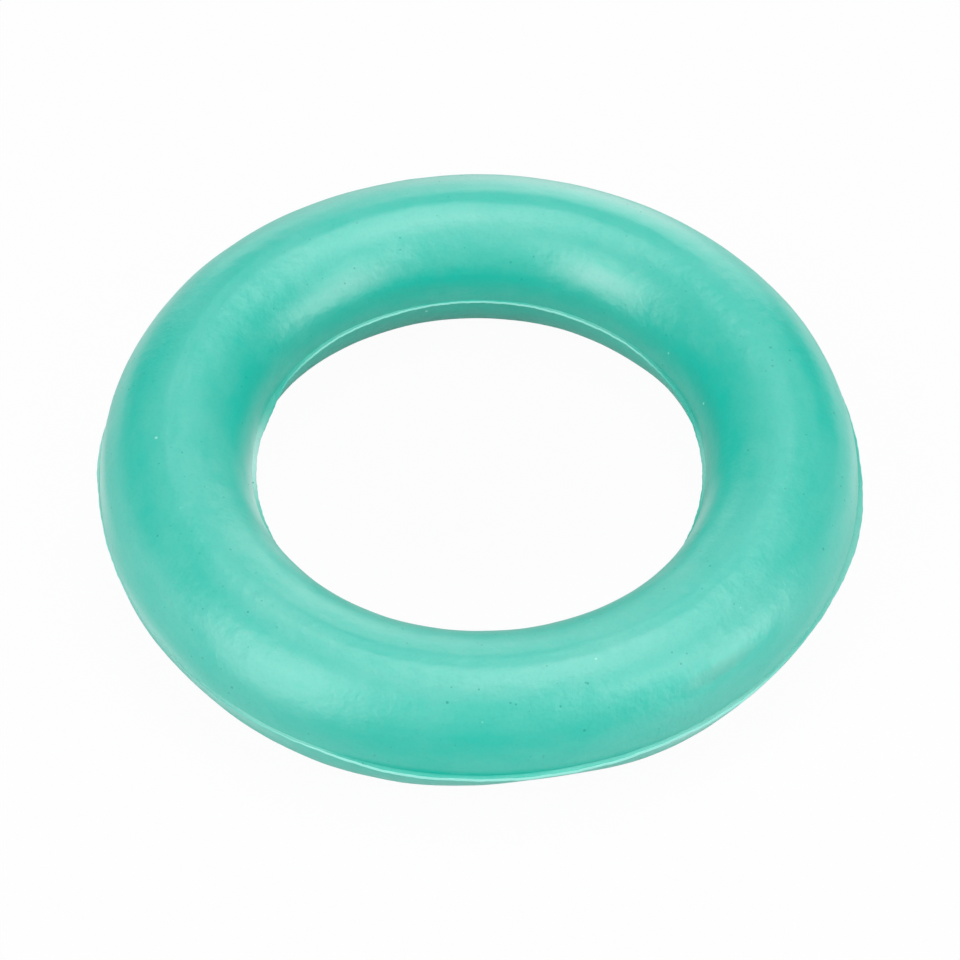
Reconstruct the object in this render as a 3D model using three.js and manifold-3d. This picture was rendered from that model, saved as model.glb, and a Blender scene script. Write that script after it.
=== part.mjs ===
// A dog chew ring: one solid ring of natural rubber, pressed between the two plates of a mould.
// Millimetres, +Z up. The ring lies flat. Its axis is Z, and the origin is on that axis, at the
// height of the surface that the ring rests on.
import * as THREE from "three";
import { mergeVertices } from "three/addons/utils/BufferGeometryUtils.js";
import Module from "manifold-3d";

// The ring's section, between the mould's two plates.
const outerDiameter = 150;
const sectionWidth = 30;
const sectionHeight = 30;
// The narrow flat band that the ring rests on, and its twin on top.
const landWidth = 3;

// Places along the ring are given in degrees: an azimuth from +X towards +Y, and a half width.

// The moulding came out a little out of round: here the whole section sits further out.
const outOfRound = { azimuth: 145, halfWidth: 36, shift: 0.45 };

// The fin of flash that is left at the parting plane where the moulding was trimmed by hand: its
// least reach, and where the knife left more (or, below zero, cut closer).
const finThickness = 0.6;
const leastReachOutside = 0.45;
const leastReachInside = 0.6;
const leftOutside = [
  { azimuth: -101, halfWidth: 12, extra: 0.3 },
  { azimuth: -80, halfWidth: 30, extra: 0.5 },
  { azimuth: -50, halfWidth: 14, extra: 0.2 },
  { azimuth: -22, halfWidth: 18, extra: 0.15 },
  { azimuth: -11, halfWidth: 16, extra: 0.75 },
  { azimuth: 10, halfWidth: 20, extra: 0.3 },
  { azimuth: 30, halfWidth: 10, extra: -0.2 },
  { azimuth: 90, halfWidth: 44, extra: 0.25 },
  { azimuth: 180, halfWidth: 8, extra: 0.25 },
];
const leftInside = [
  { azimuth: -154, halfWidth: 16, extra: 0.2 },
  { azimuth: -5, halfWidth: 70, extra: 0.1 },
  { azimuth: 162, halfWidth: 13, extra: 0.5 },
  { azimuth: 168, halfWidth: 30, extra: 0.28 },
];
// How far the trimmed edge wanders either way from that.
const finWaver = 0.08;

// Shallow hollows in the lower half under the fin, where the rubber shrank back in the mould. A
// slope is an angle on the section: 0 outside, -90 underneath and -180 in the hole.
const hollows = [
  { azimuth: -136, slope: -35, halfWidth: 14, depth: 0.3 },
  { azimuth: -100, slope: -35, halfWidth: 14, depth: 0.35 },
  { azimuth: -80, slope: -35, halfWidth: 24, depth: 1.6 },
  { azimuth: -60, slope: -35, halfWidth: 12, depth: 0.25 },
  { azimuth: -44, slope: -35, halfWidth: 22, depth: 0.6 },
  { azimuth: 36, slope: -152, halfWidth: 16, depth: 0.25 },
];
// How far a hollow spreads either way over the section.
const hollowSpread = 50;

// Faceting: steps around the ring, and steps on each quarter of the section.
const stepsAround = 120;
const stepsPerQuarter = 7;

const rubberColour = 0x64cfbd;

const radians = THREE.MathUtils.degToRad;

const partingHeight = sectionHeight / 2;
const centreLineRadius = (outerDiameter - sectionWidth) / 2;
const outsideRadius = outerDiameter / 2;
const holeRadius = outsideRadius - sectionWidth;

// The section is an ellipse that the two lands cut short, so that it is still as high as it says.
const halfWidth = sectionWidth / 2;
const landAngle = Math.acos(landWidth / sectionWidth);
const ellipseHalfHeight = partingHeight / Math.sin(landAngle);

const wasm = await Module();
wasm.setup();

// A closed geometry as a solid.
function solidFrom(geometry) {
  const bare = geometry.clone();
  bare.deleteAttribute("normal");
  bare.deleteAttribute("uv");
  const merged = mergeVertices(bare);
  const mesh = new wasm.Mesh({
    numProp: 3,
    vertProperties: merged.attributes.position.array,
    triVerts: new Uint32Array(merged.index.array),
  });
  return new wasm.Manifold(mesh);
}

// A solid back as a geometry with flat facets.
function geometryFrom(solid) {
  const mesh = solid.getMesh();
  const geometry = new THREE.BufferGeometry();
  geometry.setAttribute("position", new THREE.BufferAttribute(mesh.vertProperties, 3));
  geometry.setIndex(new THREE.BufferAttribute(mesh.triVerts, 1));
  const faceted = geometry.toNonIndexed();
  faceted.computeVertexNormals();
  return faceted;
}

// A point of the section, at an angle that runs from the outside (0) over the top (90 degrees).
function sectionPoint(angle) {
  const radius = centreLineRadius + halfWidth * Math.cos(angle);
  const height = partingHeight + ellipseHalfHeight * Math.sin(angle);
  return new THREE.Vector2(radius, height);
}

// One half of the section, from start to start + 180 degrees, with the land halfway along it.
// The lathe closes it along the parting plane.
function halfSection(start) {
  const points = [];
  const landStart = start + landAngle;
  const landEnd = start + Math.PI - landAngle;
  for (let step = 0; step <= stepsPerQuarter; step++) {
    points.push(sectionPoint(THREE.MathUtils.lerp(start, landStart, step / stepsPerQuarter)));
  }
  for (let step = 0; step <= stepsPerQuarter; step++) {
    points.push(sectionPoint(THREE.MathUtils.lerp(landEnd, start + Math.PI, step / stepsPerQuarter)));
  }
  points.push(points[0].clone());
  return points;
}

// The half of the ring that one plate of the mould shapes.
function halfRing(start) {
  const geometry = new THREE.LatheGeometry(halfSection(start), stepsAround);
  geometry.rotateX(Math.PI / 2);
  return geometry;
}

// A smooth bump, 1 in the middle and 0 from its half width on.
function bump(offset, halfSpan) {
  const share = Math.min(Math.abs(offset) / halfSpan, 1);
  return Math.cos((share * Math.PI) / 2) ** 2;
}

// The shorter way round from one angle to another, in radians.
function turnBetween(from, to) {
  return THREE.MathUtils.euclideanModulo(to - from + Math.PI, 2 * Math.PI) - Math.PI;
}

// How much of a place is felt at an azimuth: 1 in its middle and 0 from its ends on.
function shareOf(place, azimuth) {
  return bump(turnBetween(radians(place.azimuth), azimuth), radians(place.halfWidth));
}

// How far the section sits out from its true circle at an azimuth.
function shiftAt(azimuth) {
  return outOfRound.shift * shareOf(outOfRound, azimuth);
}

// How far a hollow sets the rubber back at an azimuth and an angle on the section.
function setBack(hollow, azimuth, angle) {
  const down = bump(turnBetween(radians(hollow.slope), angle), radians(hollowSpread));
  return hollow.depth * shareOf(hollow, azimuth) * down;
}

// Moves a half's surface out where the ring is out of round, and in towards the middle of the
// section where these dents are.
function distort(geometry, dents) {
  const position = geometry.attributes.position;
  const point = new THREE.Vector3();
  for (let i = 0; i < position.count; i++) {
    point.fromBufferAttribute(position, i);
    const azimuth = Math.atan2(point.y, point.x);
    const radius = Math.hypot(point.x, point.y);
    const across = (radius - centreLineRadius) / halfWidth;
    const up = (point.z - partingHeight) / ellipseHalfHeight;
    const angle = Math.atan2(up, across);
    const depth = dents.reduce((sum, dent) => sum + setBack(dent, azimuth, angle), 0);
    const newRadius = radius + shiftAt(azimuth) - depth * Math.cos(angle);
    point.x = newRadius * Math.cos(azimuth);
    point.y = newRadius * Math.sin(azimuth);
    point.z -= depth * Math.sin(angle);
    position.setXYZ(i, point.x, point.y, point.z);
  }
  return geometry;
}

// How far the fin reaches at an azimuth, from its least reach and the places with more.
function reachAt(azimuth, leastReach, places) {
  return places.reduce((sum, place) => sum + place.extra * shareOf(place, azimuth), leastReach);
}

// The trimmed edge wanders in slow and quick waves.
function edgeWaver(azimuth, phase) {
  const slow = Math.sin(6 * azimuth + phase);
  const quick = Math.sin(14 * azimuth + 2 * phase);
  return finWaver * (0.6 * slow + 0.4 * quick);
}

// The points of a trimmed edge around the ring. It stands out of the rubber to one side: 1 is
// outside and -1 is in the hole.
function trimmedEdge(radius, side, leastReach, places, phase) {
  const points = [];
  for (let step = 0; step < stepsAround; step++) {
    const azimuth = (step / stepsAround) * 2 * Math.PI;
    const reach = reachAt(azimuth, leastReach, places) + edgeWaver(azimuth, phase);
    const edge = radius + shiftAt(azimuth) + side * reach;
    points.push(new THREE.Vector2(edge * Math.cos(azimuth), edge * Math.sin(azimuth)));
  }
  return points;
}

// The sheet of flash across the parting plane. Only its two trimmed edges stand out of the ring.
function flashSheet() {
  const outerEdge = trimmedEdge(outsideRadius, 1, leastReachOutside, leftOutside, 0.8);
  const innerEdge = trimmedEdge(holeRadius, -1, leastReachInside, leftInside, 2.4);
  const sheet = new THREE.Shape(outerEdge);
  sheet.holes.push(new THREE.Path(innerEdge));
  const geometry = new THREE.ExtrudeGeometry(sheet, { depth: finThickness, bevelEnabled: false });
  geometry.translate(0, 0, partingHeight - finThickness / 2);
  return geometry;
}

// The whole moulding: two halves, and the flash that joins them.
function rubberRing() {
  const upperHalf = solidFrom(distort(halfRing(0), []));
  const lowerHalf = solidFrom(distort(halfRing(Math.PI), hollows));
  const flash = solidFrom(flashSheet());
  const ring = upperHalf.add(lowerHalf).add(flash);
  const rubber = new THREE.MeshStandardMaterial({
    color: rubberColour,
    roughness: 0.45,
    metalness: 0,
  });
  const mesh = new THREE.Mesh(geometryFrom(ring), rubber);
  mesh.name = "rubber_ring";
  return mesh;
}

const chewRing = new THREE.Group();
chewRing.name = "dog_chew_ring";
chewRing.add(rubberRing());

export default chewRing;
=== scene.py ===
"""Looks of a dog chew ring: one solid ring of mint-green rubber with a trimmed fin at its parting line."""

import math

import bpy
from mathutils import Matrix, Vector


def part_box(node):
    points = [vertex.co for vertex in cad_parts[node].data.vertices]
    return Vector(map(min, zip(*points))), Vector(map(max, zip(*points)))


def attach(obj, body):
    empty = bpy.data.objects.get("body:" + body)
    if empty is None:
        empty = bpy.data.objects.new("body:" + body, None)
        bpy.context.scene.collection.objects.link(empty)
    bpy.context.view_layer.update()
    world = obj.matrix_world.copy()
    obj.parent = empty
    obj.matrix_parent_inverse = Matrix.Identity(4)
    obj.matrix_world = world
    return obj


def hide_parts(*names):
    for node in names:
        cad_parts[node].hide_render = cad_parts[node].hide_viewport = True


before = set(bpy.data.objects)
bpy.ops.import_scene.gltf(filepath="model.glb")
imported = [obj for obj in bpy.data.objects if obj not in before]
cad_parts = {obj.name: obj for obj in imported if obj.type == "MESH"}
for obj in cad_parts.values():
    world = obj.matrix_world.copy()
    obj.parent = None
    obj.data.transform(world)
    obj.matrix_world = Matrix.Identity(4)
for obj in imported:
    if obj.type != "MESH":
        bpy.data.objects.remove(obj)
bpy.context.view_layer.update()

# Sizes in metres, angles in degrees. An azimuth runs from +X towards +Y. A slope is an angle on the
# section: 0 outside, 90 on top, 180 in the hole and -90 underneath. A place on the ring also has a
# half width along it and, where it has a slope, a spread either way over the section.
MM = 0.001

# The frame's own box, before anything is added.
RING_LOW, RING_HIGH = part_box("rubber_ring")

# The moulding. Its height and parting plane come from the frame.
SECTION_RADIUS = (RING_HIGH.z - RING_LOW.z) / 2
PARTING_HEIGHT = (RING_HIGH.z + RING_LOW.z) / 2
CENTRE_LINE_RADIUS = 60 * MM
LAND_HALF_WIDTH = 1.5 * MM
SECTION_STEPS = 60
STEPS_AROUND = 960

# Points closer than the seam gap become one where the section meets itself, and a cut that passes
# closer than the cut gap to a point uses that point. Edges sharper than the angle stay sharp.
SEAM_GAP = 0.002 * MM
CUT_GAP = 0.0001 * MM
SMOOTH_ANGLE = 40

# Tests on a place reach a little past its edge, to take in the points that lie on it.
EDGE_SLACK = 1.01

# The moulding came out a little out of round: here the whole section sits further out. The pull
# goes to a cylinder so wide that all points of a section move by the same length.
OUT_OF_ROUND = {"azimuth": 145, "half_width": 36, "shift": 0.45 * MM}
FAR_CYLINDER = 10.0

# The fin at the parting plane: half its thickness at the root and at the trimmed edge, how much
# further the slanting cut reaches below than above, the rounding of that edge, and the reach that
# the section starts with.
FIN_ROOT_HALF = 0.34 * MM
FIN_TIP_HALF = 0.26 * MM
FIN_SLANT = 0.20 * MM
FIN_ROUNDING = 0.07 * MM
FIN_ROUNDING_STEPS = 2
FIN_STUB = 0.10 * MM

# The furthest that the fin could be drawn out from that start.
FIN_SPARE = 1.45 * MM

# The least reach that the trimming left, and the places where it left more or cut closer.
LEAST_REACH_OUTSIDE = 0.45 * MM
LEAST_REACH_INSIDE = 0.60 * MM
LEFT_OUTSIDE = (
    {"azimuth": -162, "half_width": 24, "extra": -0.26 * MM},
    {"azimuth": -146, "half_width": 17, "extra": -0.26 * MM},
    {"azimuth": -101, "half_width": 12, "extra": 0.30 * MM},
    {"azimuth": -80, "half_width": 30, "extra": 0.50 * MM},
    {"azimuth": -60, "half_width": 22, "extra": 0.12 * MM},
    {"azimuth": -50, "half_width": 14, "extra": 0.20 * MM},
    {"azimuth": -22, "half_width": 18, "extra": 0.15 * MM},
    {"azimuth": -11, "half_width": 16, "extra": 0.75 * MM},
    {"azimuth": 10, "half_width": 20, "extra": 0.30 * MM},
    {"azimuth": 30, "half_width": 10, "extra": -0.20 * MM},
    {"azimuth": 90, "half_width": 44, "extra": 0.25 * MM},
    {"azimuth": 180, "half_width": 8, "extra": 0.25 * MM},
)
LEFT_INSIDE = (
    {"azimuth": -154, "half_width": 16, "extra": 0.20 * MM},
    {"azimuth": -5, "half_width": 70, "extra": 0.10 * MM},
    {"azimuth": 95, "half_width": 62, "extra": -0.30 * MM},
    {"azimuth": 162, "half_width": 13, "extra": 0.50 * MM},
    {"azimuth": 168, "half_width": 30, "extra": 0.28 * MM},
)

# How far the trimmed edge wanders: waves around the ring and their heights. Each starts at an angle
# of its own, so that they do not all crest in one place.
TRIM_WAVES = (
    {"count": 6, "height": 0.048 * MM},
    {"count": 14, "height": 0.032 * MM},
    {"count": 53, "height": 0.035 * MM},
    {"count": 131, "height": 0.025 * MM},
    {"count": 211, "height": 0.015 * MM},
)

# Where the fin is thinner at its edge: the shares that its upper and its lower half lose there, and
# the most that either loses.
THINNED_OUTSIDE = (
    {"azimuth": -150, "half_width": 20, "above": 0.80, "below": 0.80},
    {"azimuth": -134, "half_width": 14, "above": 0.70, "below": 0.70},
    {"azimuth": -122, "half_width": 10, "above": 0.55, "below": 0.55},
    {"azimuth": -115, "half_width": 7, "above": 0.55, "below": 0.55},
    {"azimuth": -36, "half_width": 12, "above": 0.60, "below": 0.60},
)
THINNED_INSIDE = (
    {"azimuth": -175, "half_width": 45, "above": 0.50, "below": 0.50},
    {"azimuth": 40, "half_width": 30, "above": 0.20, "below": 0.50},
    {"azimuth": 80, "half_width": 70, "above": 0.60, "below": 0.00},
    {"azimuth": 135, "half_width": 40, "above": 0.60, "below": 0.10},
)
MOST_THINNED = 0.85

# Where the trimmed edge shows a fresh pale cut. Elsewhere it has the colour of the rest. The gain
# makes the change from one to the other short.
FRESH_CUT_OUTSIDE = ({"azimuth": -81, "half_width": 52},)
FRESH_CUT_INSIDE = ({"azimuth": 92, "half_width": 72},)
FRESH_CUT_GAIN = 3.5

# Hollows in the lower half under the fin: where each is deepest and how deep it is.
HOLLOW_SPREAD = 50
HOLLOWS = (
    {"azimuth": -136, "slope": -35, "half_width": 14, "depth": 0.30 * MM},
    {"azimuth": -100, "slope": -35, "half_width": 14, "depth": 0.35 * MM},
    {"azimuth": -80, "slope": -35, "half_width": 24, "depth": 1.60 * MM},
    {"azimuth": -60, "slope": -35, "half_width": 12, "depth": 0.25 * MM},
    {"azimuth": -44, "slope": -35, "half_width": 22, "depth": 0.60 * MM},
    {"azimuth": 36, "slope": -152, "half_width": 16, "depth": 0.25 * MM},
)

# Slow lumps in the moulding, which keep this many degrees off the lands and the fin, and the slight
# wander of the parting line, which is felt this many degrees up and down.
LUMP_SIZE = 16 * MM
LUMP_HEIGHT = 0.16 * MM
LUMPS_OFF_LAND = 25
LUMPS_OFF_FIN = 12
PARTING_WANDER = 0.25 * MM
PARTING_WANDER_SIZE = 14 * MM
PARTING_SPREAD = 20
CLOUD_DEPTH = 2

# In the hole the parting line sits lower at the back.
PARTING_DIP = {"azimuth": 95, "half_width": 75, "dip": 0.50 * MM}

# Colours are linear red, green and blue. The bloom runs from none, deep mint, to its thickest, chalky mint,
# and its painted places also carry painted highlights and reflections. Where it is less than none, the
# rubber is painted darker towards the dark mint, as painted shade.
MINT_PAINTED_SHADE = (0.004, 0.340, 0.255, 1)
MINT_DEEP = (0.004, 0.592, 0.463, 1)
MINT_CHALK_AND_PAINTED_LIGHT = (0.592, 0.930, 0.860, 1)
CUT_MINT_DEEP = (0.300, 0.880, 0.760, 1)
CUT_MINT_PALE = (0.400, 0.970, 0.860, 1)
DULL_MINT = (0.050, 0.350, 0.280, 1)
SPECK_GREEN = (0.004, 0.420, 0.325, 1)
PIT_MINT = (0.300, 0.850, 0.700, 1)
FLOOR_GREY = (0.76, 0.76, 0.76, 1)
# The darker grey of the painted shadow on the floor in the hole.
HOLE_PAINTED_SHADOW_GREY = (0.54, 0.54, 0.54, 1)

# Single specks that show: dark ones in the rubber, and pale pits. Each is a place on the section.
DARK_SPECKS = (
    {"azimuth": -134, "slope": -23.5, "radius": 0.30 * MM},
    {"azimuth": -128, "slope": 17.5, "radius": 0.30 * MM},
    {"azimuth": -94.5, "slope": 59, "radius": 0.30 * MM},
    {"azimuth": -77, "slope": 52.5, "radius": 0.25 * MM},
    {"azimuth": -74, "slope": 32, "radius": 0.30 * MM},
    {"azimuth": -72, "slope": 64.5, "radius": 0.30 * MM},
    {"azimuth": -56.5, "slope": 54, "radius": 0.25 * MM},
    {"azimuth": -22.5, "slope": 39, "radius": 0.35 * MM},
    {"azimuth": -11.5, "slope": 173, "radius": 0.40 * MM},
    {"azimuth": -6.5, "slope": 119.5, "radius": 0.25 * MM},
    {"azimuth": 4.5, "slope": 48.5, "radius": 0.30 * MM},
    {"azimuth": 18.5, "slope": 87.5, "radius": 0.30 * MM},
)
PALE_PITS = (
    {"azimuth": -174.5, "slope": 78, "radius": 0.35 * MM},
    {"azimuth": 15.5, "slope": 157.5, "radius": 0.30 * MM},
    {"azimuth": 104.5, "slope": 189.5, "radius": 0.35 * MM},
)

# The faint specks and pits all over, which come by chance.
DARK_SPRINKLE = {"spacing": 2.4 * MM, "radius": 0.22 * MM, "share": 0.65}
PALE_SPRINKLE = {"spacing": 5.3 * MM, "radius": 0.22 * MM, "share": 0.35}
FAINT_SPECKS = 0.9

# A speck is full up to this share of its radius. A single one fades out past its radius.
SPECK_CORE = 0.4
SPOT_FADE = 1.3

# The fine mottling of the rubber itself: its size, and how much of the duller colour it takes.
TONE_SIZE = 0.7 * MM
TONE_SHARE = 0.6

# How much of the bloom there is in general, and the places where it is raised or lowered. These places mix
# real bloom with painted light: painted reflections along the rims and on the lower half, painted highlights
# in the hole, and painted shade where the value is lowered, most of all below zero.
BLOOM_LEVEL = 0.31
BLOOM_AND_PAINTED_LIGHT_PLACES = (
    # Outside, up to the shoulder. The large pale values along the rims and under the fin are painted
    # reflections, and the dark values at the front are painted shade.
    {"azimuth": -177, "slope": 14, "half_width": 20, "spread": 15, "extra": 1.90},
    {"azimuth": -168, "slope": 27, "half_width": 14, "spread": 12, "extra": -0.20},
    {"azimuth": -150, "slope": 1, "half_width": 24, "spread": 13, "extra": 1.20},
    {"azimuth": -150, "slope": 42, "half_width": 18, "spread": 14, "extra": 0.28},
    {"azimuth": -131, "slope": -8, "half_width": 20, "spread": 14, "extra": 0.95},
    {"azimuth": -120, "slope": 42, "half_width": 18, "spread": 16, "extra": -0.17},
    {"azimuth": -96, "slope": 20, "half_width": 52, "spread": 26, "extra": -0.25},
    {"azimuth": -92, "slope": 2, "half_width": 26, "spread": 12, "extra": -0.22},
    {"azimuth": -60, "slope": 42, "half_width": 18, "spread": 16, "extra": -0.20},
    {"azimuth": -52, "slope": -8, "half_width": 19, "spread": 14, "extra": 1.90},
    {"azimuth": -50, "slope": 35, "half_width": 15, "spread": 13, "extra": -0.68},
    {"azimuth": -20, "slope": 1, "half_width": 30, "spread": 15, "extra": 0.70},
    {"azimuth": 0, "slope": 22, "half_width": 20, "spread": 16, "extra": 0.85},
    {"azimuth": 24, "slope": 42, "half_width": 24, "spread": 14, "extra": 0.40},
    {"azimuth": 150, "slope": 27, "half_width": 28, "spread": 13, "extra": 0.70},
    {"azimuth": 156, "slope": 38, "half_width": 28, "spread": 16, "extra": 0.50},
    {"azimuth": 174, "slope": 0, "half_width": 34, "spread": 12, "extra": 1.60},
    # On the upper half. The pale places along the back rim are painted reflections.
    {"azimuth": -178, "slope": 54, "half_width": 20, "spread": 16, "extra": -0.12},
    {"azimuth": -133, "slope": 46, "half_width": 9, "spread": 10, "extra": 0.18},
    {"azimuth": -127, "slope": 84, "half_width": 20, "spread": 16, "extra": 0.26},
    {"azimuth": -94, "slope": 67, "half_width": 42, "spread": 13, "extra": 0.27},
    {"azimuth": -68, "slope": 88, "half_width": 18, "spread": 14, "extra": 0.20},
    {"azimuth": -42, "slope": 64, "half_width": 16, "spread": 14, "extra": 0.18},
    {"azimuth": 4, "slope": 71, "half_width": 14, "spread": 8, "extra": 0.16},
    {"azimuth": 8, "slope": 52, "half_width": 18, "spread": 11, "extra": -0.28},
    {"azimuth": 20, "slope": 80, "half_width": 40, "spread": 30, "extra": -0.10},
    {"azimuth": 24, "slope": 63, "half_width": 34, "spread": 16, "extra": -0.38},
    {"azimuth": 34, "slope": 98, "half_width": 36, "spread": 12, "extra": -0.13},
    {"azimuth": 56, "slope": 128, "half_width": 14, "spread": 8, "extra": -0.28},
    {"azimuth": 60, "slope": 82, "half_width": 32, "spread": 8, "extra": -0.26},
    {"azimuth": 62, "slope": 60, "half_width": 20, "spread": 11, "extra": 0.52},
    {"azimuth": 84, "slope": 60, "half_width": 54, "spread": 20, "extra": 1.30},
    {"azimuth": 84, "slope": 122, "half_width": 44, "spread": 22, "extra": 0.16},
    {"azimuth": 90, "slope": 92, "half_width": 54, "spread": 12, "extra": -0.12},
    {"azimuth": 98, "slope": 112, "half_width": 34, "spread": 12, "extra": 0.16},
    {"azimuth": 139, "slope": 78, "half_width": 18, "spread": 16, "extra": -0.16},
    {"azimuth": 150, "slope": 110, "half_width": 40, "spread": 40, "extra": -0.10},
    {"azimuth": 156, "slope": 62, "half_width": 34, "spread": 18, "extra": -0.20},
    {"azimuth": 165, "slope": 50, "half_width": 16, "spread": 10, "extra": -0.20},
    # In the hole. The large pale values at the rims are painted reflections, the pale values near slope 140
    # at azimuths 61 to 125 are painted highlights, and the dark values on the inner wall are painted shade.
    {"azimuth": -167, "slope": 168, "half_width": 17, "spread": 18, "extra": 2.60},
    {"azimuth": -160, "slope": 146, "half_width": 20, "spread": 13, "extra": 0.45},
    {"azimuth": -156, "slope": 157, "half_width": 16, "spread": 18, "extra": 2.00},
    {"azimuth": -142, "slope": 138, "half_width": 16, "spread": 16, "extra": 0.90},
    {"azimuth": -62, "slope": 130, "half_width": 10, "spread": 10, "extra": -0.20},
    {"azimuth": -43, "slope": 137, "half_width": 12, "spread": 12, "extra": 0.42},
    {"azimuth": -25, "slope": 153, "half_width": 20, "spread": 17, "extra": 1.50},
    {"azimuth": 0, "slope": 138, "half_width": 60, "spread": 34, "extra": -0.25},
    {"azimuth": 1, "slope": 179, "half_width": 17, "spread": 13, "extra": 1.10},
    {"azimuth": 20, "slope": 158, "half_width": 60, "spread": 30, "extra": -0.30},
    {"azimuth": 61, "slope": 139, "half_width": 14, "spread": 12, "extra": 0.68},
    {"azimuth": 62, "slope": 160, "half_width": 36, "spread": 18, "extra": -0.16},
    {"azimuth": 95, "slope": 192, "half_width": 64, "spread": 26, "extra": -0.30},
    {"azimuth": 110, "slope": 162, "half_width": 70, "spread": 20, "extra": -0.40},
    {"azimuth": 118, "slope": 143, "half_width": 16, "spread": 14, "extra": 0.38},
    {"azimuth": 125, "slope": 142, "half_width": 12, "spread": 11, "extra": 0.30},
    {"azimuth": 165, "slope": 146, "half_width": 34, "spread": 22, "extra": -0.38},
    {"azimuth": 178, "slope": 180, "half_width": 18, "spread": 19, "extra": 2.40},
)

# The clouds and wisps that break the bloom up, on the skin and on the fresh cut.
THICKEST_BLOOM = 3.0
SKIN_CLOUDS = {"thickest": THICKEST_BLOOM, "cloud_size": 7 * MM, "wisp_size": 2.2 * MM, "wisp_share": 0.3}
CUT_CLOUDS = {"painted": 0.7, "cloud_size": 5 * MM, "wisp_size": 1.2 * MM}

# The grain of the skin and of the cut, and how high and strong each stands.
SKIN_GRAIN = {"fine_size": 0.7 * MM, "broad_size": 3 * MM, "fine_share": 0.22}
SKIN_GRAIN_HEIGHT = 0.15 * MM
SKIN_GRAIN_STRENGTH = 1.0
CUT_GRAIN = {"fine_size": 0.3 * MM, "broad_size": 1.5 * MM, "fine_share": 0.4}
CUT_GRAIN_HEIGHT = 0.08 * MM
CUT_GRAIN_STRENGTH = 0.6

# The skin's gloss is duller under bloom. The bloom has a powdery sheen at its edges.
BARE_ROUGHNESS = 0.36
BLOOM_ROUGHNESS = 0.57
CUT_ROUGHNESS = 0.6
SKIN_SPECULAR = 1.0
SKIN_SHEEN = 0.11
SKIN_SHEEN_ROUGHNESS = 0.40

# The floor's width in metres. It has a darker patch in the hole, a painted shadow: the middle of the patch,
# how far it is full, and where it has faded out.
FLOOR_SIZE = 8
HOLE_SHADE_CENTRE = (0, 12 * MM, 0)
HOLE_SHADE_INNER = 22 * MM
HOLE_SHADE_OUTER = 42 * MM

# The floor is this much lower than the land, so that the two do not share a plane.
FLOOR_GAP = 0.05 * MM

# How much of the lit floor the camera sees in place of plain white, and how much a gloss does. The
# world's own light is faint beside the soft boxes.
FLOOR_SHARE_SEEN = 0.04
FLOOR_SHARE_IN_GLOSS = 0.94
SKY_STRENGTH = 0.04

# The photograph's camera, by its distance and elevation from the middle of the ring.
CAMERA_DISTANCE = 729.6 * MM
CAMERA_ELEVATION = 50.02
CAMERA_LENS = 137.92
CAMERA_ROLL = 0.758
SENSOR_WIDTH = 36
PICTURE_SIZE = 960
RING_CENTRE_IN_PICTURE = (479.28, 466.51)

# Square soft boxes round the ring, by azimuth and elevation, in metres and watts.
BOX_DISTANCE = 1.3
SOFT_BOXES = (
    {"name": "left_low", "azimuth": 218, "elevation": 20, "size": 0.75, "power": 5.8},
    {"name": "left_high", "azimuth": 212, "elevation": 48, "size": 0.60, "power": 4.65},
    {"name": "right_low", "azimuth": 330, "elevation": 12, "size": 0.62, "power": 2.8},
    {"name": "right_side", "azimuth": 345, "elevation": 22, "size": 0.55, "power": 3.2},
    {"name": "right_high", "azimuth": 325, "elevation": 48, "size": 0.45, "power": 2.75},
    {"name": "back_low", "azimuth": 75, "elevation": 5, "size": 0.60, "power": 2.6},
    {"name": "back_side", "azimuth": 110, "elevation": 8, "size": 0.45, "power": 1.2},
    {"name": "back_high", "azimuth": 85, "elevation": 25, "size": 0.60, "power": 2.0},
    {"name": "top_back", "azimuth": 90, "elevation": 75, "size": 0.70, "power": 4.1},
    {"name": "top_right", "azimuth": 20, "elevation": 70, "size": 0.70, "power": 3.0},
)


def deselect_all():
    """Leaves no object selected, so that an operator acts on one piece alone."""
    bpy.ops.object.select_all(action="DESELECT")


def bump(offset, half_span):
    """A smooth bump: 1 in the middle and 0 from half_span on."""
    share = abs(offset) / half_span
    return math.cos(share * math.pi / 2) ** 2 if share < 1 else 0


def turn_between(start, end):
    """The shorter way round from one angle to another, in degrees."""
    return (end - start + 180) % 360 - 180


def share_along(place, azimuth):
    """How much of a place is felt at an azimuth: 1 in its middle and 0 from its ends on."""
    return bump(turn_between(place["azimuth"], azimuth), place["half_width"])


def ring_angles(point):
    """A point's azimuth round the ring and its slope on the section."""
    azimuth = math.degrees(math.atan2(point.y, point.x))
    across = math.hypot(point.x, point.y) - CENTRE_LINE_RADIUS
    up = point.z - PARTING_HEIGHT
    return azimuth, math.degrees(math.atan2(up, across))


def section_place(azimuth, slope):
    """The point of the round section at an azimuth and a slope."""
    turn = math.radians(azimuth)
    angle = math.radians(slope)
    radius = CENTRE_LINE_RADIUS + SECTION_RADIUS * math.cos(angle)
    height = PARTING_HEIGHT + SECTION_RADIUS * math.sin(angle)
    return Vector((radius * math.cos(turn), radius * math.sin(turn), height))


def select_vertices(piece, chosen):
    """Selects the vertices of a piece that chosen says yes to. Starts and ends in edit mode."""
    bpy.ops.mesh.select_mode(type="VERT")
    bpy.ops.mesh.select_all(action="DESELECT")
    bpy.ops.object.mode_set(mode="OBJECT")
    for vertex in piece.data.vertices:
        vertex.select = chosen(vertex.co)
    bpy.ops.object.mode_set(mode="EDIT")
    bpy.ops.mesh.select_mode(type="VERT")


def cut_section(point, normal):
    """Adds the points at which a plane crosses the section."""
    bpy.ops.mesh.select_all(action="SELECT")
    bpy.ops.mesh.bisect(plane_co=point, plane_no=normal, threshold=CUT_GAP)


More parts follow.
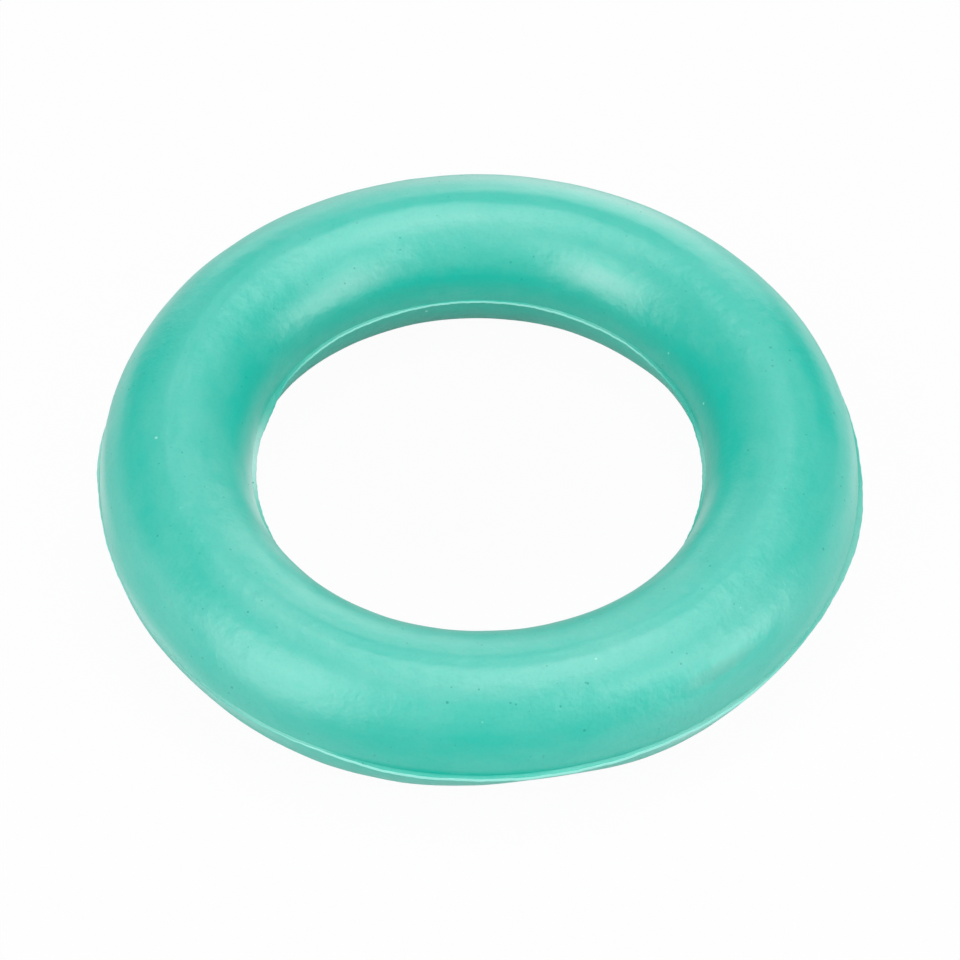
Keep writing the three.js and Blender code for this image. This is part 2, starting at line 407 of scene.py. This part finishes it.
def new_section():
    """The moulding's round section, upright at +X, with no corner at the parting plane."""
    deselect_all()
    bpy.ops.mesh.primitive_circle_add(
        vertices=SECTION_STEPS,
        radius=SECTION_RADIUS,
        location=(CENTRE_LINE_RADIUS, 0, PARTING_HEIGHT),
        rotation=(math.pi / 2, math.pi / SECTION_STEPS, 0),
    )
    bpy.ops.object.transform_apply(location=True, rotation=True, scale=True)
    section = bpy.context.object
    section.name = "chew_ring"
    section.data.name = "chew_ring"
    return section


def press_land(section, height):
    """Flattens the band at the top or the bottom, as the lands of the CAD ring are."""
    for side in (-1, 1):
        cut_section((CENTRE_LINE_RADIUS + side * LAND_HALF_WIDTH, 0, height), (1, 0, 0))
    land_edge = LAND_HALF_WIDTH * EDGE_SLACK

    def on_land(point):
        across = abs(point.x - CENTRE_LINE_RADIUS)
        return across < land_edge and abs(point.z - height) < SECTION_RADIUS / 2

    select_vertices(section, on_land)
    bpy.ops.transform.resize(value=(1, 1, 0), center_override=(0, 0, height))


def raise_fin(section, side):
    """Draws the fin out of the section at the parting plane: side 1 is outside, -1 is in the hole."""
    root = CENTRE_LINE_RADIUS + side * SECTION_RADIUS

    def on_root(point):
        near = abs(point.x - root) < SECTION_RADIUS / 2
        return near and abs(point.z - PARTING_HEIGHT) < FIN_ROOT_HALF * EDGE_SLACK

    select_vertices(section, on_root)
    bpy.ops.mesh.delete(type="EDGE")
    select_vertices(section, on_root)
    bpy.ops.mesh.extrude_vertices_move(
        TRANSFORM_OT_translate={"value": (side * FIN_STUB, 0, 0)},
    )
    bpy.ops.transform.resize(
        value=(1, 1, FIN_TIP_HALF / FIN_ROOT_HALF),
        center_override=(0, 0, PARTING_HEIGHT),
    )
    bpy.ops.mesh.edge_face_add()
    bpy.ops.mesh.bevel(offset=FIN_ROUNDING, segments=FIN_ROUNDING_STEPS, affect="VERTICES")


def apply_modifier(piece, modifier):
    """Applies one modifier to its piece."""
    deselect_all()
    piece.select_set(True)
    bpy.context.view_layer.objects.active = piece
    bpy.ops.object.modifier_apply(modifier=modifier.name)


def turn_into_ring(section):
    """Revolves the section round the ring's axis, closes the seam and points the faces outwards."""
    screw = section.modifiers.new("revolve", "SCREW")
    screw.axis = "Z"
    screw.angle = 2 * math.pi
    screw.steps = STEPS_AROUND
    screw.render_steps = STEPS_AROUND
    screw.use_merge_vertices = True
    screw.merge_threshold = SEAM_GAP
    apply_modifier(section, screw)
    bpy.ops.object.mode_set(mode="EDIT")
    bpy.ops.mesh.select_all(action="SELECT")
    bpy.ops.mesh.remove_doubles(threshold=SEAM_GAP)
    bpy.ops.mesh.normals_make_consistent(inside=False)
    bpy.ops.object.mode_set(mode="OBJECT")


def weight_group(piece, name, weight_at):
    """Adds a vertex group whose weight at each vertex is what weight_at says, 0 left out."""
    group = piece.vertex_groups.new(name=name)
    for vertex in piece.data.vertices:
        weight = weight_at(vertex.co)
        if weight > 0:
            group.add([vertex.index], weight, "REPLACE")


def hollow_depth(point):
    """How far the hollows set the rubber back at a point of the lower half."""
    if point.z > PARTING_HEIGHT - FIN_ROOT_HALF / EDGE_SLACK:
        return 0
    azimuth, slope = ring_angles(point)
    depth = 0
    for hollow in HOLLOWS:
        down = bump(turn_between(hollow["slope"], slope), HOLLOW_SPREAD)
        depth += hollow["depth"] * share_along(hollow, azimuth) * down
    return depth


def push(ring, name, direction, strength, weight_at, texture=None):
    """Moves points along a direction, each by its weight, and both ways where a texture says."""
    weight_group(ring, name, weight_at)
    modifier = ring.modifiers.new(name, "DISPLACE")
    modifier.direction = direction
    modifier.vertex_group = name
    modifier.strength = strength
    modifier.mid_level = 0
    if texture:
        modifier.texture = texture
        modifier.texture_coords = "LOCAL"
        modifier.mid_level = 0.5
    apply_modifier(ring, modifier)


def press_hollows(ring):
    """Sets the lower half back under the fin, where the rubber shrank in the mould."""
    deepest = max(hollow["depth"] for hollow in HOLLOWS)
    push(ring, "hollows", "NORMAL", -deepest, lambda point: hollow_depth(point) / deepest)


def fin_offset(point):
    """How far a point stands out past the round section, outside or in the hole."""
    radius = math.hypot(point.x, point.y)
    return abs(radius - CENTRE_LINE_RADIUS) - SECTION_RADIUS


def on_fin_tip(point):
    """Whether a point belongs to the fin's trimmed edge and not to its root."""
    near_plane = abs(point.z - PARTING_HEIGHT) < FIN_ROOT_HALF
    return near_plane and fin_offset(point) > FIN_STUB / 2


def trimmed_reach(azimuth, side):
    """How far the fin reaches at an azimuth: side 1 is outside, -1 is in the hole."""
    reach = LEAST_REACH_OUTSIDE if side > 0 else LEAST_REACH_INSIDE
    for place in LEFT_OUTSIDE if side > 0 else LEFT_INSIDE:
        reach += place["extra"] * share_along(place, azimuth)
    for wave in TRIM_WAVES:
        reach += wave["height"] * math.sin(wave["count"] * math.radians(azimuth) + side * wave["count"])
    return reach


def pull_to_radius(ring, name, radius, weight_at):
    """Draws points level with the ground towards a radius, each by its weight."""
    weight_group(ring, name, weight_at)
    pull = ring.modifiers.new(name, "CAST")
    pull.cast_type = "CYLINDER"
    pull.use_x = True
    pull.use_y = True
    pull.use_z = False
    pull.use_radius_as_size = False
    pull.size = radius
    pull.factor = 1
    pull.vertex_group = name
    apply_modifier(ring, pull)


def trim_fin(ring, side):
    """Lengthens one side's fin to where the trimming knife left it."""

    def spare(point):
        outside = math.hypot(point.x, point.y) > CENTRE_LINE_RADIUS
        if not on_fin_tip(point) or outside != (side > 0):
            return 0
        below = (PARTING_HEIGHT - point.z) / FIN_TIP_HALF
        reach = trimmed_reach(ring_angles(point)[0], side) + below * FIN_SLANT / 2
        return min(max((reach - FIN_STUB) / FIN_SPARE, 0), 1)

    stub = CENTRE_LINE_RADIUS + side * (SECTION_RADIUS + FIN_STUB)
    name = "outer_fin" if side > 0 else "inner_fin"
    pull_to_radius(ring, name, stub + side * FIN_SPARE, spare)


def thin_fin(ring, half):
    """Presses the fin's edge thinner, place by place: half is "above" or "below"."""
    side = 1 if half == "above" else -1

    def press(point):
        off_plane = (point.z - PARTING_HEIGHT) * side / FIN_TIP_HALF
        if off_plane <= 0 or not on_fin_tip(point):
            return 0
        outside = math.hypot(point.x, point.y) > CENTRE_LINE_RADIUS
        places = THINNED_OUTSIDE if outside else THINNED_INSIDE
        azimuth = ring_angles(point)[0]
        thinned = sum(place[half] * share_along(place, azimuth) for place in places)
        return min(thinned, MOST_THINNED) * min(off_plane, 1)

    push(ring, "thinned_" + half, "Z", -side * FIN_TIP_HALF, press)


def put_out_of_round(ring):
    """Shifts the section out where the moulding is out of round."""
    share = OUT_OF_ROUND["shift"] / FAR_CYLINDER

    def shift(point):
        return share * share_along(OUT_OF_ROUND, ring_angles(point)[0])

    pull_to_radius(ring, "out_of_round", FAR_CYLINDER, shift)


def cloud_texture(name, size):
    """A soft cloud texture for a displacement, with features about as large as size."""
    texture = bpy.data.textures.new(name, "CLOUDS")
    texture.noise_scale = size
    texture.noise_depth = CLOUD_DEPTH
    return texture


def clear_of_lands(point):
    """1 where the surface may be lumpy and 0 at the lands and the fin."""
    slope = ring_angles(point)[1]
    from_land = min(abs(turn_between(90, slope)), abs(turn_between(-90, slope)))
    from_fin = min(abs(turn_between(0, slope)), abs(turn_between(180, slope)))
    return (1 - bump(from_land, LUMPS_OFF_LAND)) * (1 - bump(from_fin, LUMPS_OFF_FIN))


def raise_lumps(ring):
    """Slow lumps all over, as on a moulding that is not machined."""
    clouds = cloud_texture("lumps", LUMP_SIZE)
    push(ring, "lumps", "NORMAL", 2 * LUMP_HEIGHT, clear_of_lands, clouds)


def near_parting(point):
    """1 at the parting plane, fading to 0 some way up and down the section."""
    slope = ring_angles(point)[1]
    from_fin = min(abs(turn_between(0, slope)), abs(turn_between(180, slope)))
    return bump(from_fin, PARTING_SPREAD)


def let_parting_wander(ring):
    """Lets the parting line drift a little up and down, and dip at the back of the hole."""
    clouds = cloud_texture("parting", PARTING_WANDER_SIZE)
    push(ring, "parting", "Z", 2 * PARTING_WANDER, near_parting, clouds)

    def in_dip(point):
        if math.hypot(point.x, point.y) > CENTRE_LINE_RADIUS:
            return 0
        return near_parting(point) * share_along(PARTING_DIP, ring_angles(point)[0])

    push(ring, "dip", "Z", -PARTING_DIP["dip"], in_dip)


def bare_material(name):
    """A node material with its output alone."""
    material = bpy.data.materials.new(name)
    material.use_nodes = True
    tree = material.node_tree
    tree.nodes.clear()
    return material, tree, tree.nodes.new("ShaderNodeOutputMaterial")


def new_material(name):
    """A node material with its output and a principled shader, joined."""
    material, tree, output = bare_material(name)
    shader = tree.nodes.new("ShaderNodeBsdfPrincipled")
    tree.links.new(shader.outputs["BSDF"], output.inputs["Surface"])
    return material, tree, shader


def new_group(name, inputs, outputs):
    """A shader node group with named float or vector inputs, and float outputs."""
    group = bpy.data.node_groups.new(name, "ShaderNodeTree")
    for socket, kind, value in inputs:
        made = group.interface.new_socket(socket, in_out="INPUT", socket_type=kind)
        if value is not None:
            made.default_value = value
    for socket in outputs:
        group.interface.new_socket(socket, in_out="OUTPUT", socket_type="NodeSocketFloat")
    entry = group.nodes.new("NodeGroupInput")
    leave = group.nodes.new("NodeGroupOutput")
    return group, entry, leave


def math_node(tree, operation, first, second, clamped=False):
    """A maths node fed by sockets or plain numbers. Returns its output."""
    node = tree.nodes.new("ShaderNodeMath")
    node.operation = operation
    node.use_clamp = clamped
    for place, value in enumerate((first, second)):
        if isinstance(value, (int, float)):
            node.inputs[place].default_value = value
        else:
            tree.links.new(value, node.inputs[place])
    return node.outputs["Value"]


def smooth_range(tree, value, low, high):
    """0 at low, 1 at high and a smooth step between them."""
    node = tree.nodes.new("ShaderNodeMapRange")
    node.interpolation_type = "SMOOTHSTEP"
    node.inputs["From Min"].default_value = low
    node.inputs["From Max"].default_value = high
    tree.links.new(value, node.inputs["Value"])
    return node.outputs["Result"]


def along_ring(tree, place, stretch):
    """Where to read a four-dimensional noise that is drawn out along the ring: vector and fourth."""
    parts = tree.nodes.new("ShaderNodeSeparateXYZ")
    tree.links.new(place, parts.inputs["Vector"])
    squares = [math_node(tree, "MULTIPLY", parts.outputs[axis], parts.outputs[axis]) for axis in "XY"]
    radius = math_node(tree, "POWER", math_node(tree, "ADD", *squares), 0.5)
    squeezed = math_node(tree, "DIVIDE", CENTRE_LINE_RADIUS, stretch)
    scale = math_node(tree, "DIVIDE", squeezed, radius)
    joined = tree.nodes.new("ShaderNodeCombineXYZ")
    for axis in "XY":
        tree.links.new(math_node(tree, "MULTIPLY", parts.outputs[axis], scale), joined.inputs[axis])
    tree.links.new(parts.outputs["Z"], joined.inputs["Z"])
    return joined.outputs["Vector"], radius


def noise_of_size(tree, place, size, detail, roughness, fourth=None):
    """A noise with features about as large as size says. A fourth makes it four-dimensional."""
    noise = tree.nodes.new("ShaderNodeTexNoise")
    if fourth is not None:
        noise.noise_dimensions = "4D"
        tree.links.new(fourth, noise.inputs["W"])
    noise.inputs["Detail"].default_value = detail
    noise.inputs["Roughness"].default_value = roughness
    tree.links.new(place, noise.inputs["Vector"])
    scale = math_node(tree, "DIVIDE", 1.0, size)
    tree.links.new(scale, noise.inputs["Scale"])
    return noise.outputs["Fac"]


def bloom_group():
    """Clouds of pale bloom: broad soft patches broken up by wisps, both drawn out along the ring."""
    inputs = (
        ("Place", "NodeSocketVector", None),
        ("Painted", "NodeSocketFloat", 0.5),
        ("Thickest", "NodeSocketFloat", 1.0),
        ("Cloud Size", "NodeSocketFloat", 12 * MM),
        ("Wisp Size", "NodeSocketFloat", 3 * MM),
        ("Cloud Share", "NodeSocketFloat", 0.55),
        ("Wisp Share", "NodeSocketFloat", 0.2),
        ("Cloud Stretch", "NodeSocketFloat", 1.4),
        ("Wisp Stretch", "NodeSocketFloat", 2.6),
    )
    group, entry, leave = new_group("bloom_clouds", inputs, ("Bloom",))
    place, fourth = along_ring(group, entry.outputs["Place"], entry.outputs["Cloud Stretch"])
    clouds = noise_of_size(group, place, entry.outputs["Cloud Size"], detail=4, roughness=0.6, fourth=fourth)
    place, fourth = along_ring(group, entry.outputs["Place"], entry.outputs["Wisp Stretch"])
    wisps = noise_of_size(group, place, entry.outputs["Wisp Size"], detail=4, roughness=0.65, fourth=fourth)
    total = entry.outputs["Painted"]
    for noise, share in ((clouds, "Cloud Share"), (wisps, "Wisp Share")):
        swing = math_node(group, "SUBTRACT", noise, 0.5)
        part = math_node(group, "MULTIPLY", swing, entry.outputs[share])
        total = math_node(group, "ADD", total, part)
    share = math_node(group, "DIVIDE", total, entry.outputs["Thickest"], clamped=True)
    group.links.new(share, leave.inputs["Bloom"])
    return group


def speck_group():
    """Small round specks, few and far between."""
    inputs = (
        ("Place", "NodeSocketVector", None),
        ("Spacing", "NodeSocketFloat", 4 * MM),
        ("Radius", "NodeSocketFloat", 0.3 * MM),
        ("Share", "NodeSocketFloat", 0.5),
    )
    group, entry, leave = new_group("rubber_specks", inputs, ("Specks",))
    cells = group.nodes.new("ShaderNodeTexVoronoi")
    group.links.new(entry.outputs["Place"], cells.inputs["Vector"])
    spacing = entry.outputs["Spacing"]
    group.links.new(math_node(group, "DIVIDE", 1.0, spacing), cells.inputs["Scale"])
    chance = group.nodes.new("ShaderNodeSeparateColor")
    group.links.new(cells.outputs["Color"], chance.inputs["Color"])
    kept = math_node(group, "LESS_THAN", chance.outputs["Red"], entry.outputs["Share"])
    spread = math_node(group, "ADD", chance.outputs["Green"], 0.5)
    real_radius = math_node(group, "MULTIPLY", entry.outputs["Radius"], spread)
    distance = math_node(group, "MULTIPLY", cells.outputs["Distance"], spacing)
    share = math_node(group, "DIVIDE", distance, real_radius)
    inside = math_node(group, "SUBTRACT", 1.0, smooth_range(group, share, SPECK_CORE, 1.0))
    group.links.new(math_node(group, "MULTIPLY", inside, kept), leave.inputs["Specks"])
    return group


def spot_group():
    """One round spot at a place of its own."""
    inputs = (
        ("Place", "NodeSocketVector", None),
        ("Centre", "NodeSocketVector", None),
        ("Radius", "NodeSocketFloat", 0.3 * MM),
    )
    group, entry, leave = new_group("rubber_spot", inputs, ("Spot",))
    apart = group.nodes.new("ShaderNodeVectorMath")
    apart.operation = "DISTANCE"
    group.links.new(entry.outputs["Place"], apart.inputs[0])
    group.links.new(entry.outputs["Centre"], apart.inputs[1])
    share = math_node(group, "DIVIDE", apart.outputs["Value"], entry.outputs["Radius"])
    inside = math_node(group, "SUBTRACT", 1.0, smooth_range(group, share, SPECK_CORE, SPOT_FADE))
    group.links.new(inside, leave.inputs["Spot"])
    return group


def grain_group():
    """The height of the rubber's skin: a fine grain on a broader unevenness."""
    inputs = (
        ("Place", "NodeSocketVector", None),
        ("Fine Size", "NodeSocketFloat", 0.35 * MM),
        ("Broad Size", "NodeSocketFloat", 4 * MM),
        ("Fine Share", "NodeSocketFloat", 0.3),
    )
    group, entry, leave = new_group("rubber_grain", inputs, ("Height",))
    place = entry.outputs["Place"]
    fine = noise_of_size(group, place, entry.outputs["Fine Size"], detail=3, roughness=0.6)
    broad = noise_of_size(group, place, entry.outputs["Broad Size"], detail=2, roughness=0.5)
    part = math_node(group, "MULTIPLY", fine, entry.outputs["Fine Share"])
    group.links.new(math_node(group, "ADD", part, broad), leave.inputs["Height"])
    return group


def use_group(tree, group, place, **values):
    """A group placed in a material, with its own values."""
    node = tree.nodes.new("ShaderNodeGroup")
    node.node_tree = group
    tree.links.new(place, node.inputs["Place"])
    for name, value in values.items():
        node.inputs[name.replace("_", " ").title()].default_value = value
    return node


def all_spots(tree, spot, place, spots):
    """The spots of a list together, 1 inside them and 0 elsewhere. Returns the output."""
    total = None
    for one in spots:
        centre = section_place(one["azimuth"], one["slope"])
        output = use_group(tree, spot, place, centre=centre, radius=one["radius"]).outputs["Spot"]
        total = output if total is None else math_node(tree, "MAXIMUM", total, output)
    return total


def mix_colours(tree, share, first, second):
    """A mix of two colours, each a plain value or a socket. Returns its output."""
    node = tree.nodes.new("ShaderNodeMix")
    node.data_type = "RGBA"
    tree.links.new(share, node.inputs["Factor"])
    for socket, colour in (("A", first), ("B", second)):
        target = next(s for s in node.inputs if s.name == socket and s.type == "RGBA")
        if isinstance(colour, tuple):
            target.default_value = colour
        else:
            tree.links.new(colour, target)
    return next(s for s in node.outputs if s.type == "RGBA")


def skin_bump(tree, shader, height, distance, strength):
    """Puts a height into the shader's normal."""
    node = tree.nodes.new("ShaderNodeBump")
    node.inputs["Distance"].default_value = distance
    node.inputs["Strength"].default_value = strength
    tree.links.new(height, node.inputs["Height"])
    tree.links.new(node.outputs["Normal"], shader.inputs["Normal"])


def rubber_material(bloom, specks, spot, grain):
    """Satin mint rubber with clouds of pale bloom, a few dark specks and light pits, and painted light:
    highlights, reflections and shade carried by the painted bloom.
    """
    material, tree, shader = new_material("mint_rubber")
    place = tree.nodes.new("ShaderNodeTexCoord").outputs["Object"]
    # The painted bloom attribute also holds painted highlights, reflections and shade.
    painted = tree.nodes.new("ShaderNodeAttribute")
    painted.attribute_name = "bloom"
    clouds = use_group(tree, bloom, place, **SKIN_CLOUDS)
    tree.links.new(painted.outputs["Fac"], clouds.inputs["Painted"])
    dark = use_group(tree, specks, place, **DARK_SPRINKLE)
    pale = use_group(tree, specks, place, **PALE_SPRINKLE)
    colour = mix_colours(tree, clouds.outputs["Bloom"], MINT_DEEP, MINT_CHALK_AND_PAINTED_LIGHT)
    # Below zero the painted bloom darkens the rubber towards the dark mint: painted shade.
    painted_shade = math_node(tree, "MULTIPLY", painted.outputs["Fac"], -1, clamped=True)
    colour = mix_colours(tree, painted_shade, colour, MINT_PAINTED_SHADE)
    mottling = noise_of_size(tree, place, TONE_SIZE, detail=3, roughness=0.6)
    tone = math_node(tree, "SUBTRACT", mottling, 0.5)
    dulled = math_node(tree, "MULTIPLY", tone, TONE_SHARE, clamped=True)
    colour = mix_colours(tree, dulled, colour, DULL_MINT)
    all_dark = math_node(tree, "MULTIPLY", dark.outputs["Specks"], FAINT_SPECKS)
    all_dark = math_node(tree, "MAXIMUM", all_dark, all_spots(tree, spot, place, DARK_SPECKS))
    all_pale = math_node(tree, "MULTIPLY", pale.outputs["Specks"], FAINT_SPECKS)
    all_pale = math_node(tree, "MAXIMUM", all_pale, all_spots(tree, spot, place, PALE_PITS))
    colour = mix_colours(tree, all_dark, colour, SPECK_GREEN)
    colour = mix_colours(tree, all_pale, colour, PIT_MINT)
    tree.links.new(colour, shader.inputs["Base Color"])
    rough = tree.nodes.new("ShaderNodeMapRange")
    rough.inputs["To Min"].default_value = BARE_ROUGHNESS
    rough.inputs["To Max"].default_value = BLOOM_ROUGHNESS
    tree.links.new(clouds.outputs["Bloom"], rough.inputs["Value"])
    tree.links.new(rough.outputs["Result"], shader.inputs["Roughness"])
    shader.inputs["Specular IOR Level"].default_value = SKIN_SPECULAR
    shader.inputs["Sheen Weight"].default_value = SKIN_SHEEN
    shader.inputs["Sheen Roughness"].default_value = SKIN_SHEEN_ROUGHNESS
    skin = use_group(tree, grain, place, **SKIN_GRAIN)
    skin_bump(tree, shader, skin.outputs["Height"], SKIN_GRAIN_HEIGHT, SKIN_GRAIN_STRENGTH)
    return material


def fin_material(bloom, grain):
    """The cut rubber of the trimmed edge: matt, and paler where the cut is fresh."""
    material, tree, shader = new_material("trimmed_edge")
    place = tree.nodes.new("ShaderNodeTexCoord").outputs["Object"]
    painted = tree.nodes.new("ShaderNodeAttribute")
    painted.attribute_name = "bloom"
    # Where the cut is not fresh, the edge takes the body's painted bloom, with the painted reflections it
    # carries.
    worn_and_painted_light = math_node(tree, "DIVIDE", painted.outputs["Fac"], THICKEST_BLOOM, clamped=True)
    worn_and_painted_light = mix_colours(tree, worn_and_painted_light, MINT_DEEP, MINT_CHALK_AND_PAINTED_LIGHT)
    clouds = use_group(tree, bloom, place, **CUT_CLOUDS)
    fresh = mix_colours(tree, clouds.outputs["Bloom"], CUT_MINT_DEEP, CUT_MINT_PALE)
    cut = tree.nodes.new("ShaderNodeAttribute")
    cut.attribute_name = "fresh_cut"
    colour = mix_colours(tree, cut.outputs["Fac"], worn_and_painted_light, fresh)
    tree.links.new(colour, shader.inputs["Base Color"])
    shader.inputs["Roughness"].default_value = CUT_ROUGHNESS
    skin = use_group(tree, grain, place, **CUT_GRAIN)
    skin_bump(tree, shader, skin.outputs["Height"], CUT_GRAIN_HEIGHT, CUT_GRAIN_STRENGTH)
    return material


def bloom_and_painted_light_at(point):
    """How thick the bloom lies at a point, with the painted highlights, reflections and shade added in.
    Below zero, the rubber is painted darker as shade.
    """
    azimuth, slope = ring_angles(point)
    level = BLOOM_LEVEL
    for place in BLOOM_AND_PAINTED_LIGHT_PLACES:
        along = share_along(place, azimuth)
        if along:
            level += place["extra"] * along * bump(turn_between(place["slope"], slope), place["spread"])
    return level


def fresh_cut_at(point):
    """How fresh the cut looks at a point of the trimmed edge, from 0 to 1."""
    outside = math.hypot(point.x, point.y) > CENTRE_LINE_RADIUS
    places = FRESH_CUT_OUTSIDE if outside else FRESH_CUT_INSIDE
    azimuth = ring_angles(point)[0]
    return min(FRESH_CUT_GAIN * sum(share_along(place, azimuth) for place in places), 1)


def paint(ring, name, value_at):
    """An attribute of the ring's points, from what value_at says at each."""
    layer = ring.data.attributes.new(name=name, type="FLOAT", domain="POINT")
    for vertex in ring.data.vertices:
        layer.data[vertex.index].value = value_at(vertex.co)


def dress_ring(ring):
    """Gives the body and the trimmed edge their materials."""
    bloom = bloom_group()
    grain = grain_group()
    ring.data.materials.append(rubber_material(bloom, speck_group(), spot_group(), grain))
    ring.data.materials.append(fin_material(bloom, grain))
    for face in ring.data.polygons:
        tips = sum(on_fin_tip(ring.data.vertices[index].co) for index in face.vertices)
        face.material_index = 1 if tips == len(face.vertices) else 0


def floor_material():
    """A pale floor that shows almost white to the camera, its lit self in a gloss, and a painted shadow in
    the hole.
    """
    material, tree, output = bare_material("pale_floor")
    paper = tree.nodes.new("ShaderNodeBsdfDiffuse")
    place = tree.nodes.new("ShaderNodeTexCoord").outputs["Object"]
    apart = tree.nodes.new("ShaderNodeVectorMath")
    apart.operation = "DISTANCE"
    apart.inputs[1].default_value = HOLE_SHADE_CENTRE
    tree.links.new(place, apart.inputs[0])
    outside = smooth_range(tree, apart.outputs["Value"], HOLE_SHADE_INNER, HOLE_SHADE_OUTER)
    tree.links.new(mix_colours(tree, outside, HOLE_PAINTED_SHADOW_GREY, FLOOR_GREY), paper.inputs["Color"])
    white = tree.nodes.new("ShaderNodeEmission")
    rays = tree.nodes.new("ShaderNodeLightPath")
    seen = math_node(tree, "MAXIMUM", rays.outputs["Is Camera Ray"], rays.outputs["Is Transmission Ray"])
    seen = math_node(tree, "MULTIPLY", seen, 1 - FLOOR_SHARE_SEEN)
    mirrored = math_node(tree, "MULTIPLY", rays.outputs["Is Glossy Ray"], 1 - FLOOR_SHARE_IN_GLOSS)
    share = math_node(tree, "MAXIMUM", seen, mirrored)
    mix = tree.nodes.new("ShaderNodeMixShader")
    tree.links.new(share, mix.inputs["Fac"])
    tree.links.new(paper.outputs["BSDF"], mix.inputs[1])
    tree.links.new(white.outputs["Emission"], mix.inputs[2])
    tree.links.new(mix.outputs["Shader"], output.inputs["Surface"])
    return material


def lay_floor():
    """The floor under the ring."""
    deselect_all()
    bpy.ops.mesh.primitive_plane_add(size=FLOOR_SIZE, location=(0, 0, RING_LOW.z - FLOOR_GAP))
    floor = bpy.context.object
    floor.name = "floor"
    floor.data.materials.append(floor_material())


def light_sky():
    """A plain white surround that lights the ring softly and shows white to the camera."""
    world = bpy.data.worlds.new("white_surround")
    bpy.context.scene.world = world
    world.use_nodes = True
    tree = world.node_tree
    tree.nodes.clear()
    output = tree.nodes.new("ShaderNodeOutputWorld")
    seen = tree.nodes.new("ShaderNodeBackground")
    felt = tree.nodes.new("ShaderNodeBackground")
    felt.inputs["Strength"].default_value = SKY_STRENGTH
    rays = tree.nodes.new("ShaderNodeLightPath")
    mix = tree.nodes.new("ShaderNodeMixShader")
    tree.links.new(rays.outputs["Is Camera Ray"], mix.inputs["Fac"])
    tree.links.new(felt.outputs["Background"], mix.inputs[1])
    tree.links.new(seen.outputs["Background"], mix.inputs[2])
    tree.links.new(mix.outputs["Shader"], output.inputs["Surface"])


def hang_soft_box(box):
    """One soft box that faces the middle of the ring."""
    light = bpy.data.lights.new(box["name"], "AREA")
    light.shape = "SQUARE"
    light.size = box["size"]
    light.energy = box["power"]
    lamp = bpy.data.objects.new(box["name"], light)
    bpy.context.scene.collection.objects.link(lamp)
    azimuth = math.radians(box["azimuth"])
    elevation = math.radians(box["elevation"])
    level = math.cos(elevation)
    back = Vector((math.cos(azimuth) * level, math.sin(azimuth) * level, math.sin(elevation)))
    lamp.location = back * BOX_DISTANCE
    lamp.rotation_mode = "QUATERNION"
    lamp.rotation_quaternion = back.to_track_quat("Z", "Y")


def place_camera():
    """The camera at the photograph's angle, aimed and turned so that the ring lies where it does there."""
    elevation = math.radians(CAMERA_ELEVATION)
    roll = math.radians(CAMERA_ROLL)
    middle = Vector((0, 0, PARTING_HEIGHT))
    back = Vector((0, -math.cos(elevation), math.sin(elevation)))
    level_right = Vector((1, 0, 0))
    level_up = back.cross(level_right)
    right = level_right * math.cos(roll) + level_up * math.sin(roll)
    up = level_up * math.cos(roll) - level_right * math.sin(roll)
    pixel = SENSOR_WIDTH / PICTURE_SIZE / CAMERA_LENS * CAMERA_DISTANCE
    across, down = (PICTURE_SIZE / 2 - place for place in RING_CENTRE_IN_PICTURE)
    aim = middle + (right * across - up * down) * pixel
    data = bpy.data.cameras.new("photo_camera")
    data.lens = CAMERA_LENS
    data.sensor_width = SENSOR_WIDTH
    camera = bpy.data.objects.new("photo_camera", data)
    bpy.context.scene.collection.objects.link(camera)
    camera.location = middle + back * CAMERA_DISTANCE
    camera.rotation_euler = (aim - camera.location).to_track_quat("-Z", "Y").to_euler()
    camera.rotation_euler.rotate_axis("Z", roll)
    bpy.context.scene.camera = camera


def make_ring():
    """The rubber ring. It is painted while it is plain, and pressed into its real shape after that."""
    ring = new_section()
    bpy.ops.object.mode_set(mode="EDIT")
    for height in (RING_LOW.z, RING_HIGH.z):
        press_land(ring, height)
    for side in (-1, 1):
        cut_section((0, 0, PARTING_HEIGHT + side * FIN_ROOT_HALF), (0, 0, 1))
    for side in (-1, 1):
        raise_fin(ring, side)
    bpy.ops.object.mode_set(mode="OBJECT")
    turn_into_ring(ring)
    # The bloom attribute holds both the real bloom and the painted highlights, reflections and shade.
    paint(ring, "bloom", bloom_and_painted_light_at)
    paint(ring, "fresh_cut", fresh_cut_at)
    dress_ring(ring)
    press_hollows(ring)
    for side in (-1, 1):
        trim_fin(ring, side)
    for half in ("above", "below"):
        thin_fin(ring, half)
    put_out_of_round(ring)
    raise_lumps(ring)
    let_parting_wander(ring)
    bpy.ops.object.shade_smooth_by_angle(angle=math.radians(SMOOTH_ANGLE))
    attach(ring, "root")
    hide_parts("rubber_ring")


def main():
    """Makes the ring, its light and its camera."""
    make_ring()
    lay_floor()
    light_sky()
    for box in SOFT_BOXES:
        hang_soft_box(box)
    place_camera()
    bpy.context.scene.view_settings.view_transform = "Standard"


main()
